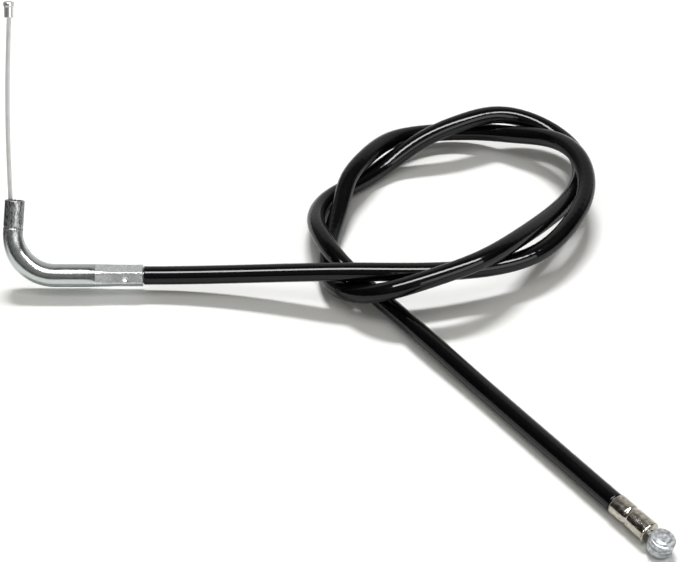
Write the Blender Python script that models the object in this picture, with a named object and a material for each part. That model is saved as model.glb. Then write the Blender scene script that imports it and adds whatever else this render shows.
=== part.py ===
"""A throttle cable for a small engine, lying on a table in a loose double loop.

A stranded wire slides in a plastic-covered steel casing. A zinc-plated elbow is crimped on the casing's
carburettor end and a turned ferrule on its lever end, and the wire ends in a small headed nipple and in a
cast barrel nipple. Metres, +Z up, the table at Z = 0, +X from the elbow along the casing's first stretch.
"""

import math

import bmesh
import bpy
import numpy as np
from mathutils import Matrix, Vector

# Every two pieces that touch on the real cable keep this clearance.
FIT = 0.0003

# The wire and the casing's three layers, from the inside out.
WIRE_DIAMETER = 0.0012
LINER_WALL = 0.0002
WINDING_WALL = 0.00035
JACKET_WALL = 0.00045
LINER_BORE = WIRE_DIAMETER + 2 * FIT
LINER_DIAMETER = LINER_BORE + 2 * LINER_WALL
WINDING_BORE = LINER_DIAMETER + 2 * FIT
WINDING_DIAMETER = WINDING_BORE + 2 * WINDING_WALL
JACKET_BORE = WINDING_DIAMETER + 2 * FIT
JACKET_DIAMETER = JACKET_BORE + 2 * JACKET_WALL

# The jacket's centre line, from the elbow to where the last straight stretch begins.
ROUTE = [
    (-0.0461, 0.0295, 0.0050),
    (-0.0035, 0.0261, 0.0090),
    (0.0080, 0.0246, 0.0105),
    (0.0400, 0.0272, 0.0090),
    (0.0603, 0.0358, 0.0085),
    (0.0677, 0.0442, 0.0095),
    (0.0743, 0.0622, 0.0110),
    (0.0732, 0.0720, 0.0115),
    (0.0651, 0.0852, 0.0087),
    (0.0570, 0.0894, 0.0067),
    (0.0455, 0.0937, 0.0045),
    (0.0325, 0.0935, 0.0042),
    (0.0220, 0.0884, 0.0060),
    (0.0135, 0.0765, 0.0085),
    (0.0083, 0.0665, 0.0078),
    (0.0066, 0.0600, 0.0058),
    (0.0026, 0.0395, 0.0026),
    (0.0040, 0.0285, 0.0035),
    (0.0103, 0.0207, 0.0063),
    (0.0185, 0.0177, 0.0098),
    (0.0290, 0.0190, 0.0127),
    (0.0427, 0.0245, 0.0145),
    (0.0531, 0.0346, 0.0131),
    (0.0629, 0.0487, 0.0092),
    (0.0717, 0.0646, 0.0060),
    (0.0743, 0.0770, 0.0055),
    (0.0718, 0.0852, 0.0060),
    (0.0634, 0.0929, 0.0077),
    (0.0525, 0.0945, 0.0100),
    (0.0410, 0.0902, 0.0105),
    (0.0306, 0.0861, 0.0080),
    (0.0214, 0.0813, 0.0040),
    (0.0111, 0.0723, 0.0026),
    (0.0037, 0.0652, 0.0031),
    (-0.0001, 0.0560, 0.0050),
    (0.0010, 0.0430, 0.0078),
    (0.0069, 0.0317, 0.0070),
    (0.0147, 0.0240, 0.0040),
    (0.0262, 0.0095, 0.0035),
    (0.0433, -0.0130, 0.0028),
]
ROUTE_RINGS = 74
LEG_DIRECTION = np.array([1.0, 0.0, 0.0])
LEVER_DIRECTION = np.array([0.6, -0.8, 0.0])
LAST_STRAIGHT = 0.0481
STRAIGHT_RINGS = 4

# The elbow: a tube along -X, bent up and away, with its casing end pressed to a hexagon.
ELBOW_WALL = 0.00105
ELBOW_BORE = WINDING_DIAMETER + 2 * FIT
ELBOW_DIAMETER = ELBOW_BORE + 2 * ELBOW_WALL
ELBOW_LEG = 0.0355
ELBOW_UPRIGHT = 0.0202
ELBOW_BEND = 0.0110
MOUTH_LEAN = math.radians(4.7)
MOUTH_TILT = math.radians(57.0)
MOUTH_DIRECTION = np.array([
    math.sin(MOUTH_LEAN),
    math.cos(MOUTH_LEAN) * math.cos(MOUTH_TILT),
    math.cos(MOUTH_LEAN) * math.sin(MOUTH_TILT),
])
CRIMP_WALL = 0.00060
CRIMP_LENGTH = 0.0082
CRIMP_TAPER = 0.0045
CRIMP_CORNER = math.radians(28.5)
CRIMP_TURN = math.radians(5.0)
SPIGOT_LENGTH = 0.0072
SPIGOT_WALL = 0.00058
SPIGOT_DIAMETER = ELBOW_BORE + 2 * SPIGOT_WALL
SPIGOT_GROOVE_WIDTH = 0.0006
SPIGOT_GROOVE_DEPTH = 0.00012
SPIGOT_CHAMFER = 0.0003
DIMPLE_DIAMETER = 0.0013
DIMPLE_DEPTH = 0.00022
DIMPLE_FROM_END = 0.00455
DIMPLE_FACET = math.radians(30.0)
DIMPLE_BELOW_MIDDLE = 0.00045
BEND_RINGS = 9

# How far the casing, with its jacket cut back, goes into each fitting.
CASING_IN_ELBOW = 0.0120
FERRULE_LENGTH = 0.0119
FERRULE_END_WALL = 0.0015
FERRULE_WALL = 0.00070
FERRULE_BORE = WINDING_DIAMETER + 2 * FIT
FERRULE_DIAMETER = FERRULE_BORE + 2 * FERRULE_WALL
FERRULE_EDGE = 0.00035
FERRULE_GROOVE_FROM_JACKET = 0.0053
FERRULE_GROOVE_WIDTH = 0.0013
FERRULE_GROOVE_DEPTH = 0.00022
FERRULE_SIDES = 24
CASING_IN_FERRULE = FERRULE_LENGTH - FERRULE_END_WALL - FIT

# The wire's exposed length at the carburettor end, and its two nipples.
EXPOSED_WIRE = 0.0483
WIRE_LEAN = math.radians(1.25)
WIRE_TILT = math.radians(60.5)
WIRE_DIRECTION = np.array([
    math.sin(WIRE_LEAN),
    math.cos(WIRE_LEAN) * math.cos(WIRE_TILT),
    math.cos(WIRE_LEAN) * math.sin(WIRE_TILT),
])
CARB_NIPPLE_LENGTH = 0.0043
CARB_NIPPLE_DIAMETER = 0.0024
CARB_NIPPLE_HEAD = 0.0029
CARB_NIPPLE_HEAD_LENGTH = 0.0015
CARB_NIPPLE_DOME = 0.0005
CARB_NIPPLE_SIDES = 20
NIPPLE_GRIP = 0.0030
BARREL_DIAMETER = 0.0063
BARREL_LENGTH = 0.0042
BARREL_EDGE = 0.0003
BARREL_STEP_DIAMETER = 0.0035
BARREL_STEP_HEIGHT = 0.0003
BARREL_AXIS = Vector((0.184, -0.057, 0.981)).normalized()
BARREL_FROM_FERRULE = 0.0006
BARREL_SIDES = 32
CUTTER_SIDES = 16
# The wire's last stretch, inside the straight end of the casing at rest, which the lever draws out.
LEVER_WIRE_IN_CASING = 0.0520
JACKET_BEVEL_RESOLUTION = 3
INNER_BEVEL_RESOLUTION = 2


def smooth_route(points, start, end, count):
    """A cubic through the points, smooth to its second derivative, that leaves along start and arrives along end.

    The slope at each inner point solves the row that makes the two cubics beside it bend alike there."""
    points = np.array(points)
    chords = np.linalg.norm(np.diff(points, axis=0), axis=1)
    size = len(points)
    rows = np.zeros((size, size))
    sides = np.zeros((size, 3))
    rows[0, 0] = rows[-1, -1] = 1.0
    sides[0] = start
    sides[-1] = end
    for i in range(1, size - 1):
        before, after = chords[i - 1], chords[i]
        rows[i, i - 1:i + 2] = 1 / before, 2 / before + 2 / after, 1 / after
        sides[i] = 3 * ((points[i] - points[i - 1]) / before ** 2 + (points[i + 1] - points[i]) / after ** 2)
    slopes = np.linalg.solve(rows, sides)
    knots = np.concatenate([[0.0], np.cumsum(chords)])
    where = np.linspace(0.0, knots[-1], count)
    piece = np.clip(np.searchsorted(knots, where, side="right") - 1, 0, size - 2)
    span = chords[piece][:, None]
    t = (where - knots[piece])[:, None] / span
    near, far = points[piece], points[piece + 1]
    leave, arrive = slopes[piece] * span, slopes[piece + 1] * span
    return ((2 * t ** 3 - 3 * t ** 2 + 1) * near + (t ** 3 - 2 * t ** 2 + t) * leave
            + (3 * t ** 2 - 2 * t ** 3) * far + (t ** 3 - t ** 2) * arrive)


def make_material(name, colour, roughness, metallic):
    material = bpy.data.materials.new(name)
    material.use_nodes = True
    shader = material.node_tree.nodes["Principled BSDF"]
    shader.inputs["Base Color"].default_value = (*colour, 1.0)
    shader.inputs["Roughness"].default_value = roughness
    shader.inputs["Metallic"].default_value = metallic
    return material


def link(obj, parent=None):
    bpy.context.scene.collection.objects.link(obj)
    if parent is not None:
        obj.parent = parent
    return obj


def mesh_object(name, bm, material, sharp_degrees, parent=None):
    """Finishes a bmesh: faces out, smooth but for edges sharper than sharp_degrees."""
    bmesh.ops.recalc_face_normals(bm, faces=bm.faces)
    mesh = bpy.data.meshes.new(name)
    bm.to_mesh(mesh)
    bm.free()
    mesh.shade_smooth()
    mesh.set_sharp_from_angle(angle=math.radians(sharp_degrees))
    mesh.materials.append(material)
    return link(bpy.data.objects.new(name, mesh), parent)


def axis_frame(origin, direction):
    """Places local +Z along the direction, at the origin."""
    turn = Vector(direction).to_track_quat("Z", "Y").to_matrix().to_4x4()
    return Matrix.Translation(Vector(origin)) @ turn


def joint_empty(name, origin, direction):
    """An empty on a sliding joint's axis, with its local +Z along the slide."""
    empty = bpy.data.objects.new(name, None)
    empty.matrix_world = axis_frame(origin, direction)
    return link(empty)


def turned(name, profile, sides, material, parent=None):
    """Spins a profile of (radius, height) points about Z. A profile with no point on the axis is a closed ring."""
    bm = bmesh.new()
    points = [bm.verts.new((radius, 0.0, height)) for radius, height in profile]
    pairs = list(zip(points, points[1:]))
    if min(radius for radius, _ in profile) > 0.0:
        pairs.append((points[-1], points[0]))
    edges = [bm.edges.new(pair) for pair in pairs]
    bmesh.ops.spin(bm, geom=points + edges, cent=(0, 0, 0), axis=(0, 0, 1), angle=2 * math.pi, steps=sides)
    bmesh.ops.remove_doubles(bm, verts=bm.verts, dist=1e-7)
    return mesh_object(name, bm, material, 35.0, parent)


def cable_curve(name, points, diameter, resolution, material, wall=None, parent=None):
    """A round bar along the points, or a tube with the given wall."""
    curve = bpy.data.curves.new(name, "CURVE")
    curve.dimensions = "3D"
    curve.bevel_depth = diameter / 2
    curve.bevel_resolution = resolution
    curve.use_fill_caps = wall is None
    spline = curve.splines.new("POLY")
    spline.points.add(len(points) - 1)
    spline.points.foreach_set("co", np.column_stack([points, np.ones(len(points))]).ravel())
    spline.use_smooth = True
    curve.materials.append(material)
    obj = link(bpy.data.objects.new(name, curve), parent)
    if wall is not None:
        shell = obj.modifiers.new("wall", "SOLIDIFY")
        shell.thickness = wall
        shell.offset = -1.0
        shell.use_even_offset = True
        shell.use_rim = True
    return obj


def bend_frame():
    """The elbow's corner, the angle it turns, and the tangent length and centre of its bend."""
    corner = np.array(ROUTE[0]) - LEG_DIRECTION * (FIT + ELBOW_LEG)
    turn = math.acos(float(np.dot(-LEG_DIRECTION, MOUTH_DIRECTION)))
    tangent = ELBOW_BEND * math.tan(turn / 2)
    inward = MOUTH_DIRECTION - np.dot(MOUTH_DIRECTION, LEG_DIRECTION) * LEG_DIRECTION
    inward /= np.linalg.norm(inward)
    centre = corner + LEG_DIRECTION * tangent + inward * ELBOW_BEND
    return corner, turn, tangent, centre, inward


def elbow_point(distance):
    """Centre, direction and outward side of the elbow's centre line, measured from its casing end."""
    corner, turn, tangent, centre, inward = bend_frame()
    leg = ELBOW_LEG - tangent
    arc = ELBOW_BEND * turn
    start = corner + LEG_DIRECTION * ELBOW_LEG
    if distance <= leg:
        return start - LEG_DIRECTION * distance, -LEG_DIRECTION, -inward
    angle = min((distance - leg) / ELBOW_BEND, turn)
    outward = -inward * math.cos(angle) - LEG_DIRECTION * math.sin(angle)
    direction = -LEG_DIRECTION * math.cos(angle) + inward * math.sin(angle)
    past = max(distance - leg - arc, 0.0)
    return centre + outward * ELBOW_BEND + direction * past, direction, outward


def elbow_length():
    _, turn, tangent, _, _ = bend_frame()
    return ELBOW_LEG - tangent + ELBOW_BEND * turn + ELBOW_UPRIGHT - tangent


def elbow_angles():
    """Angles round the elbow's outline, and the same from a facet's middle: five to each facet, the outer two
    at its corners. The hexagon is turned a little towards the camera's side."""
    from_flat = np.array([-CRIMP_CORNER, -CRIMP_CORNER / 2, 0.0, CRIMP_CORNER / 2, CRIMP_CORNER])
    middles = math.radians(90.0) - CRIMP_TURN + np.arange(6) * math.radians(60.0)
    return (middles[:, None] + from_flat).ravel(), np.tile(from_flat, 6)


def elbow_rings(from_flat):
    """The elbow's outer outlines, from its casing end: pairs of a distance and a radius for each angle.

    A hexagon is as far out as its apothem over the cosine of the angle from the facet's middle, and the
    facets run out where that passes the round tube."""
    full = ELBOW_DIAMETER / 2
    apothem = ELBOW_BORE / 2 + CRIMP_WALL
    spigot = SPIGOT_DIAMETER / 2
    length = elbow_length()
    _, turn, tangent, _, _ = bend_frame()
    bend_start = ELBOW_LEG - tangent
    bend_end = bend_start + ELBOW_BEND * turn
    groove = length - SPIGOT_LENGTH
    rings = [(0.0, apothem / np.cos(from_flat))]
    for share in (0.0, 0.2, 0.4, 0.7, 1.0):
        widened = apothem + (full - apothem) * share
        rings.append((CRIMP_LENGTH + CRIMP_TAPER * share, np.minimum(widened / np.cos(from_flat), full)))
    for i in range(BEND_RINGS + 1):
        share = i / BEND_RINGS
        narrowed = full + (spigot - full) * max(0.0, share - 0.5) * 2
        rings.append((bend_start + (bend_end - bend_start) * share, np.full(len(from_flat), narrowed)))
    for distance, radius in (
        (groove - SPIGOT_GROOVE_WIDTH / 2, spigot),
        (groove - SPIGOT_GROOVE_WIDTH / 4, spigot - SPIGOT_GROOVE_DEPTH),
        (groove + SPIGOT_GROOVE_WIDTH / 4, spigot - SPIGOT_GROOVE_DEPTH),
        (groove + SPIGOT_GROOVE_WIDTH / 2, spigot),
        (length - SPIGOT_CHAMFER, spigot),
        (length, spigot - SPIGOT_CHAMFER / 2),
    ):
        rings.append((distance, np.full(len(from_flat), radius)))
    return rings


def make_elbow(material):
    """Rings of points outside and in the bore, closed at both ends. Angle 90 degrees faces up in the leg."""
    angles, from_flat = elbow_angles()
    inward = bend_frame()[4]
    side = np.cross(LEG_DIRECTION, inward)
    roll = math.atan2(side[2], -inward[2])
    bm = bmesh.new()
    outer, inner = [], []
    for distance, radii in elbow_rings(from_flat):
        centre, direction, outward = elbow_point(distance)
        raised = outward * math.cos(roll) + side * math.sin(roll)
        beside = np.cross(raised, direction)
        for rings, sizes in ((outer, radii), (inner, np.full(len(angles), ELBOW_BORE / 2))):
            points = centre + np.outer(np.cos(angles) * sizes, beside) + np.outer(np.sin(angles) * sizes, raised)
            rings.append([bm.verts.new(point) for point in points])
    loops = outer + inner[::-1]
    for first, second in zip(loops, loops[1:] + loops[:1]):
        for i in range(len(angles)):
            j = (i + 1) % len(angles)
            bm.faces.new((first[i], first[j], second[j], second[i]))
    elbow = mesh_object("elbow_tube", bm, material, 25.0)
    cut_dimple(elbow)
    return elbow


def cut_dimple(elbow):
    """The press's locating mark: a shallow round pit low in the crimp's facet that faces up and forwards."""
    facet = DIMPLE_FACET - CRIMP_TURN
    facing = Vector((0.0, -math.cos(facet), math.sin(facet)))
    down_facet = Vector((0.0, -math.sin(facet), -math.cos(facet)))
    centre = Vector(elbow_point(DIMPLE_FROM_END)[0]) + down_facet * DIMPLE_BELOW_MIDDLE
    depth = ELBOW_BORE / 2 + CRIMP_WALL - DIMPLE_DEPTH
    cutter_height = 4 * DIMPLE_DEPTH
    profile = [
        (0.0, depth),
        (DIMPLE_DIAMETER / 4, depth),
        (DIMPLE_DIAMETER / 2, depth + DIMPLE_DEPTH),
        (DIMPLE_DIAMETER / 2, depth + cutter_height),
        (0.0, depth + cutter_height),
    ]
    cutter = turned("dimple_cutter", profile, CUTTER_SIDES, elbow.data.materials[0])
    cutter.matrix_world = axis_frame(centre, facing)
    cut_with(elbow, cutter, "dimple")


def cut_with(obj, cutter, name):
    cutter.hide_render = True
    cutter.display_type = "WIRE"
    boolean = obj.modifiers.new(name, "BOOLEAN")
    boolean.operation = "DIFFERENCE"
    boolean.solver = "EXACT"
    boolean.object = cutter


def make_casing(jacket, winding, liner):
    """The casing's three layers: the jacket stops at the fittings, the other two go on into them."""
    route = smooth_route(ROUTE, LEG_DIRECTION, LEVER_DIRECTION, ROUTE_RINGS)
    steps = np.arange(1, STRAIGHT_RINGS + 1)[:, None] / STRAIGHT_RINGS
    jacket_points = np.vstack([route, route[-1] + LEVER_DIRECTION * (LAST_STRAIGHT - FIT) * steps])
    first = jacket_points[0] - LEG_DIRECTION * (FIT + CASING_IN_ELBOW)
    last = jacket_points[-1] + LEVER_DIRECTION * (FIT + CASING_IN_FERRULE)
    inner_points = np.vstack([first, jacket_points, last])
    cable_curve("casing_jacket", jacket_points, JACKET_DIAMETER, JACKET_BEVEL_RESOLUTION, jacket, JACKET_WALL)
    cable_curve("casing_winding", inner_points, WINDING_DIAMETER, INNER_BEVEL_RESOLUTION, winding, WINDING_WALL)
    cable_curve("casing_liner", inner_points, LINER_DIAMETER, INNER_BEVEL_RESOLUTION, liner, LINER_WALL)
    return inner_points


def wire_offset():
    """How far off the elbow's centre line the wire leaves the mouth: it bears on the bend's outer side."""
    return ELBOW_BORE / 2 - WIRE_DIAMETER / 2 - FIT


def elbow_wire_points():
    """The wire's way through the elbow, from the mouth back to the casing's end."""
    _, turn, tangent, _, _ = bend_frame()
    straight = ELBOW_LEG - tangent
    length = elbow_length()
    distances = np.concatenate([[length - FIT / 2], np.linspace(length - ELBOW_UPRIGHT + tangent, straight, BEND_RINGS)])
    points = []
    for distance in distances:
        centre, _, outward = elbow_point(distance)
        share = min(max((distance - straight) / (ELBOW_BEND * turn), 0.0), 1.0)
        eased = share * share * (3 - 2 * share)
        points.append(centre + outward * wire_offset() * eased)
    return np.array(points)


def lever_origin():
    """The centre of the ferrule's outer end, where the wire comes out."""
    return np.array(ROUTE[-1]) + LEVER_DIRECTION * (LAST_STRAIGHT + FERRULE_LENGTH)


def mouth_origin():
    """Where the wire leaves the elbow's mouth."""
    centre, _, outward = elbow_point(elbow_length())
    return centre + outward * wire_offset()


def make_wire(inner_points, material, carb_axis, lever_axis):
    """The wire rope, in the three stretches that move differently, end to end."""
    inner_end = lever_origin() - LEVER_DIRECTION * (LEVER_WIRE_IN_CASING + FIT)
    before_it = (inner_points - inner_end) @ LEVER_DIRECTION < -WIRE_DIAMETER
    points = np.vstack([elbow_wire_points(), inner_points[before_it], inner_end])
    cable_curve("inner_wire_in_casing", points, WIRE_DIAMETER, INNER_BEVEL_RESOLUTION, material)
    heights = np.linspace(FIT / 2, EXPOSED_WIRE + NIPPLE_GRIP - FIT, 5)
    straight = np.column_stack([np.zeros_like(heights), np.zeros_like(heights), heights])
    cable_curve("inner_wire_carb_end", straight, WIRE_DIAMETER, INNER_BEVEL_RESOLUTION, material, parent=carb_axis)
    outer_end = BARREL_FROM_FERRULE + BARREL_DIAMETER / 2 + NIPPLE_GRIP / 2 - FIT
    heights = np.linspace(-LEVER_WIRE_IN_CASING, outer_end, 5)
    straight = np.column_stack([np.zeros_like(heights), np.zeros_like(heights), heights])
    cable_curve("inner_wire_lever_end", straight, WIRE_DIAMETER, INNER_BEVEL_RESOLUTION, material, parent=lever_axis)


def make_ferrule(material):
    """A turned cap over the casing's end: one rolled groove, rounded rims, and a hole for the wire in its end wall."""
    outer = FERRULE_DIAMETER / 2
    bore = FERRULE_BORE / 2
    hole = WIRE_DIAMETER / 2 + FIT
    edge = FERRULE_EDGE
    half_edge = edge * 0.3
    groove = FERRULE_GROOVE_FROM_JACKET
    half = FERRULE_GROOVE_WIDTH / 2
    floor = outer - FERRULE_GROOVE_DEPTH
    inside_end = FERRULE_LENGTH - FERRULE_END_WALL
    profile = [
        (hole, FERRULE_LENGTH),
        (outer - edge, FERRULE_LENGTH),
        (outer - half_edge, FERRULE_LENGTH - half_edge),
        (outer, FERRULE_LENGTH - edge),
        (outer, groove + half),
        (floor, groove + half / 2),
        (floor, groove - half / 2),
        (outer, groove - half),
        (outer, edge),
        (outer - half_edge, half_edge),
        (outer - edge, 0.0),
        (bore, 0.0),
        (bore, inside_end),
        (hole, inside_end),
    ]
    ferrule = turned("end_ferrule", profile, FERRULE_SIDES, material)
    ferrule.matrix_world = axis_frame(lever_origin() - LEVER_DIRECTION * FERRULE_LENGTH, LEVER_DIRECTION)
    return ferrule


def make_carb_nipple(material, carb_axis):
    """A small headed nipple cast on the wire's end, blind, with its shoulder towards the elbow."""
    bore = WIRE_DIAMETER / 2 + FIT
    body = CARB_NIPPLE_DIAMETER / 2
    head = CARB_NIPPLE_HEAD / 2
    base = EXPOSED_WIRE
    top = EXPOSED_WIRE + CARB_NIPPLE_LENGTH
    head_start = top - CARB_NIPPLE_HEAD_LENGTH
    profile = [
        (0.0, top),
        (head * 0.5, top - CARB_NIPPLE_DOME * 0.2),
        (head * 0.85, top - CARB_NIPPLE_DOME * 0.6),
        (head, top - CARB_NIPPLE_DOME),
        (head, head_start + CARB_NIPPLE_DOME / 2),
        (body, head_start),
        (body, base),
        (bore, base),
        (bore, base + NIPPLE_GRIP),
        (0.0, base + NIPPLE_GRIP),
    ]
    return turned("carb_nipple", profile, CARB_NIPPLE_SIDES, material, parent=carb_axis)


def make_barrel_nipple(material, lever_axis):
    """A cast barrel across the wire's end, with a low round step on its upper face."""
    radius = BARREL_DIAMETER / 2
    half = BARREL_LENGTH / 2
    edge = BARREL_EDGE
    step = BARREL_STEP_DIAMETER / 2
    profile = [
        (0.0, half),
        (step, half),
        (step, half - BARREL_STEP_HEIGHT),
        (radius - edge, half - BARREL_STEP_HEIGHT),
        (radius, half - BARREL_STEP_HEIGHT - edge),
        (radius, -half + edge),
        (radius - edge, -half),
        (0.0, -half),
    ]
    centre = lever_origin() + LEVER_DIRECTION * (BARREL_FROM_FERRULE + radius)
    barrel = turned("barrel_nipple", profile, BARREL_SIDES, material)
    barrel.parent = lever_axis
    barrel.matrix_basis = lever_axis.matrix_world.inverted() @ axis_frame(centre, BARREL_AXIS)
    hole_end = NIPPLE_GRIP / 2
    hole = WIRE_DIAMETER / 2 + FIT
    outside = -radius - edge
    cutter_profile = [(0.0, hole_end), (hole, hole_end), (hole, outside), (0.0, outside)]
    cutter = turned("wire_hole_cutter", cutter_profile, CUTTER_SIDES, material)
    cutter.matrix_world = axis_frame(centre, LEVER_DIRECTION)
    cut_with(barrel, cutter, "wire hole")
    return barrel


def build():
    for old in list(bpy.data.objects):
        bpy.data.objects.remove(old, do_unlink=True)
    zinc = make_material("zinc plate", (0.62, 0.62, 0.60), 0.28, 1.0)
    nickel = make_material("nickel plate", (0.66, 0.60, 0.50), 0.22, 1.0)
    cast_zinc = make_material("cast zinc", (0.52, 0.54, 0.56), 0.45, 1.0)
    bright_zinc = make_material("bright zinc", (0.70, 0.70, 0.70), 0.20, 1.0)
    rope = make_material("steel wire rope", (0.58, 0.58, 0.57), 0.35, 1.0)
    spring_steel = make_material("spring steel", (0.40, 0.40, 0.40), 0.40, 1.0)
    black_plastic = make_material("black plastic", (0.012, 0.012, 0.012), 0.25, 0.0)
    clear_plastic = make_material("natural plastic", (0.80, 0.80, 0.76), 0.40, 0.0)
    carb_axis = joint_empty("carb_retract_axis", mouth_origin(), WIRE_DIRECTION)
    lever_axis = joint_empty("lever_pull_axis", lever_origin(), LEVER_DIRECTION)
    make_elbow(zinc)
    inner_points = make_casing(black_plastic, spring_steel, clear_plastic)
    make_wire(inner_points, rope, carb_axis, lever_axis)
    make_ferrule(nickel)
    make_carb_nipple(bright_zinc, carb_axis)
    make_barrel_nipple(cast_zinc, lever_axis)
    bpy.context.view_layer.update()


build()
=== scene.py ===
import math

import bpy
import numpy as np
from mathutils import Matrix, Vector


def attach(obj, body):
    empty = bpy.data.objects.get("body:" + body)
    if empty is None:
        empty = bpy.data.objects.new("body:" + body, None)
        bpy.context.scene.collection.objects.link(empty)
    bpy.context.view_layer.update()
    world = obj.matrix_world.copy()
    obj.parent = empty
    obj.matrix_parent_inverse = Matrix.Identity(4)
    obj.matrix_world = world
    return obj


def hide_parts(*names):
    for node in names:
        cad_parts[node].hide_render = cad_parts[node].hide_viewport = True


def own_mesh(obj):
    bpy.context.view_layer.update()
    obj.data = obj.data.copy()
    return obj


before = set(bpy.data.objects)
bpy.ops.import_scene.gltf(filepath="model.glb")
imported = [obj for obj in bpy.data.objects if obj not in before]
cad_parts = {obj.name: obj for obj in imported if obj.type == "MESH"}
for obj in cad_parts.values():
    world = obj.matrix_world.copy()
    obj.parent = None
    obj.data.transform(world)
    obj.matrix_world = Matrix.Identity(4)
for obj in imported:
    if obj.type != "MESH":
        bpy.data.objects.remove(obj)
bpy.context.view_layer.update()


# Camera. It stands in front of the table and looks down on the loop as the photograph does, with a long lens.
LOOK_DOWN = math.radians(41.0)
LENS_LENGTH = 114.0

camera_data = bpy.data.cameras.new("camera")
camera_data.lens = LENS_LENGTH
camera_data.sensor_width = 36.0
camera_data.clip_start = 0.01
camera = bpy.data.objects.new("camera", camera_data)
camera.location = (0.006, -0.40473, 0.38051)
camera.rotation_euler = (math.radians(90.0) - LOOK_DOWN, 0.0, 0.0)
bpy.context.scene.collection.objects.link(camera)
bpy.context.scene.camera = camera


# Jacket: the casing's outside, a glossy black plastic tube pressed out over the steel winding, whose turns
# show through as faint ripples. It lies in a double loop and butts on the elbow's crimp and on the ferrule.
ROUTE = np.array([
    (-0.0461, 0.0295, 0.0050), (-0.0035, 0.0261, 0.0090), (0.0080, 0.0246, 0.0105), (0.0400, 0.0272, 0.0090),
    (0.0603, 0.0358, 0.0085), (0.0677, 0.0442, 0.0095), (0.0743, 0.0622, 0.0110), (0.0732, 0.0720, 0.0115),
    (0.0651, 0.0852, 0.0087), (0.0570, 0.0894, 0.0067), (0.0455, 0.0937, 0.0045), (0.0325, 0.0935, 0.0042),
    (0.0220, 0.0884, 0.0060), (0.0135, 0.0765, 0.0085), (0.0083, 0.0665, 0.0078), (0.0066, 0.0600, 0.0058),
    (0.0026, 0.0395, 0.0026), (0.0040, 0.0285, 0.0035), (0.0103, 0.0207, 0.0063), (0.0185, 0.0177, 0.0098),
    (0.0290, 0.0190, 0.0127), (0.0427, 0.0245, 0.0145), (0.0531, 0.0346, 0.0131), (0.0629, 0.0487, 0.0092),
    (0.0717, 0.0646, 0.0060), (0.0743, 0.0770, 0.0055), (0.0718, 0.0852, 0.0060), (0.0634, 0.0929, 0.0077),
    (0.0525, 0.0945, 0.0100), (0.0410, 0.0902, 0.0105), (0.0306, 0.0861, 0.0080), (0.0214, 0.0813, 0.0040),
    (0.0111, 0.0723, 0.0026), (0.0037, 0.0652, 0.0031), (-0.0001, 0.0560, 0.0050), (0.0010, 0.0430, 0.0078),
    (0.0069, 0.0317, 0.0070), (0.0147, 0.0240, 0.0040), (0.0262, 0.0095, 0.0035), (0.0433, -0.0130, 0.0028),
])
LEG_DIRECTION = np.array([1.0, 0.0, 0.0])
LEVER_DIRECTION = np.array([0.6, -0.8, 0.0])
LAST_STRAIGHT = 0.0481
FIT = 0.0003
JACKET_DIAMETER = 0.0050
JACKET_BORE = 0.0041
JACKET_SIDES = 28
WINDING_PITCH = 0.0021
JACKET_RIPPLE = 0.000007
LINE_STEP = 0.0004
FINE_READINGS = 12000


def eased_line(points, start, end, step):
    """A cubic through the points, smooth to its second derivative, read at even steps of arc length.

    The slopes at the points solve one row each: slope before / chord + 2 slope (1 / chord + 1 / next chord)
    + slope after / next chord = 3 (rise / chord squared + next rise / next chord squared)."""
    rise = np.diff(points, axis=0)
    chord = np.linalg.norm(rise, axis=1)
    inner = np.arange(1, len(points) - 1)
    rows = np.eye(len(points))
    rows[inner, inner - 1] = 1 / chord[:-1]
    rows[inner, inner] = 2 / chord[:-1] + 2 / chord[1:]
    rows[inner, inner + 1] = 1 / chord[1:]
    bend = 3 * (rise[:-1] / chord[:-1, None] ** 2 + rise[1:] / chord[1:, None] ** 2)
    slopes = np.linalg.solve(rows, np.vstack([start, bend, end]))
    knots = np.concatenate([[0.0], np.cumsum(chord)])
    where = np.linspace(0.0, knots[-1], FINE_READINGS)
    piece = np.clip(np.searchsorted(knots, where, side="right") - 1, 0, len(chord) - 1)
    span = chord[piece][:, None]
    t = (where - knots[piece])[:, None] / span
    line = ((2 * t ** 3 - 3 * t ** 2 + 1) * points[piece] + (t ** 3 - 2 * t ** 2 + t) * slopes[piece] * span
            + (3 * t ** 2 - 2 * t ** 3) * points[piece + 1] + (t ** 3 - t ** 2) * slopes[piece + 1] * span)
    return even_line(line, step)


def even_line(line, step):
    """The same line with its points a step apart: each coordinate is read against the arc length."""
    arc = np.concatenate([[0.0], np.cumsum(np.linalg.norm(np.diff(line, axis=0), axis=1))])
    even = np.linspace(0.0, arc[-1], round(arc[-1] / step) + 1)
    return np.stack([np.interp(even, arc, line[:, k]) for k in range(3)], axis=1)


def line_frame(line, up=(0.0, 0.0, 1.0)):
    """Arc length, and the sideways and raised directions at each point of a line:
    side = up x tangent, raised = tangent x side."""
    tangent = np.gradient(line, axis=0)
    tangent /= np.linalg.norm(tangent, axis=1)[:, None]
    side = np.cross(up, tangent)
    side /= np.linalg.norm(side, axis=1)[:, None]
    arc = np.concatenate([[0.0], np.cumsum(np.linalg.norm(np.diff(line, axis=0), axis=1))])
    return arc, side, np.cross(tangent, side)


def rings_on(line, side, raised, angle, radius):
    """Ring points: centre + radius (cos angle side + sin angle raised), one ring to each point of the line."""
    return (line[:, None] + (radius * np.cos(angle))[..., None] * side[:, None]
            + (radius * np.sin(angle))[..., None] * raised[:, None])


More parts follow.
